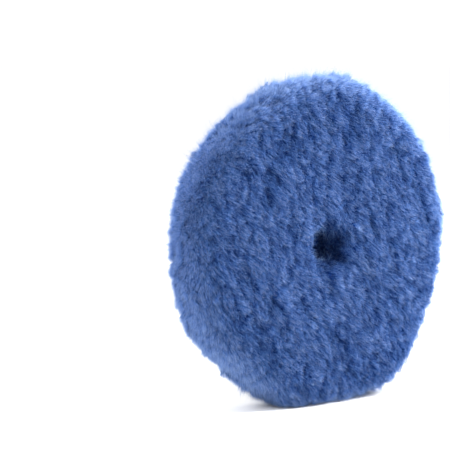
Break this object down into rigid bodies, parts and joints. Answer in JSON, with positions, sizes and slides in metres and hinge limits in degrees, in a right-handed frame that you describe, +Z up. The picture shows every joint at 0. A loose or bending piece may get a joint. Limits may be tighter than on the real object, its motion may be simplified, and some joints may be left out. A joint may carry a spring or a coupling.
{
  "type": "polishing pad",
  "caption": "Round wool polishing pad: a die-cut hook-and-loop laminate with a centre hole, and cut blue wool pile that rounds over the rim and dips into a centre dimple.",
  "frame": {"origin": "centre of the centre hole, in the plane of the loop fabric's outer face", "axes": "+Y out of the loop face along the pad's axis, the wool faces -Y, +Z up, the pad stands on its rim with a small pressed flat at -Z"},
  "size_m": [0.164, 0.0331, 0.161],
  "materials": {
    "black_loop_fabric": "brushed nylon loops, matt",
    "hot_melt_film": "thin smoky film",
    "black_foam": "fine closed-cell foam, matt",
    "latex": "dull rubber, its blue tint is a guess",
    "dyed_knit": "knitted polyester with a cut edge, its blue tint is a guess",
    "blue_wool": "dense cut wool, soft sheen"
  },
  "bodies": {
    "root": {"loop_fabric": "black_loop_fabric", "loop_adhesive": "hot_melt_film", "backing_foam": "black_foam", "bond_film": "hot_melt_film", "latex_coating": "latex", "ground_cloth": "dyed_knit", "wool_pile": "blue_wool"}
  },
  "joints": []
}
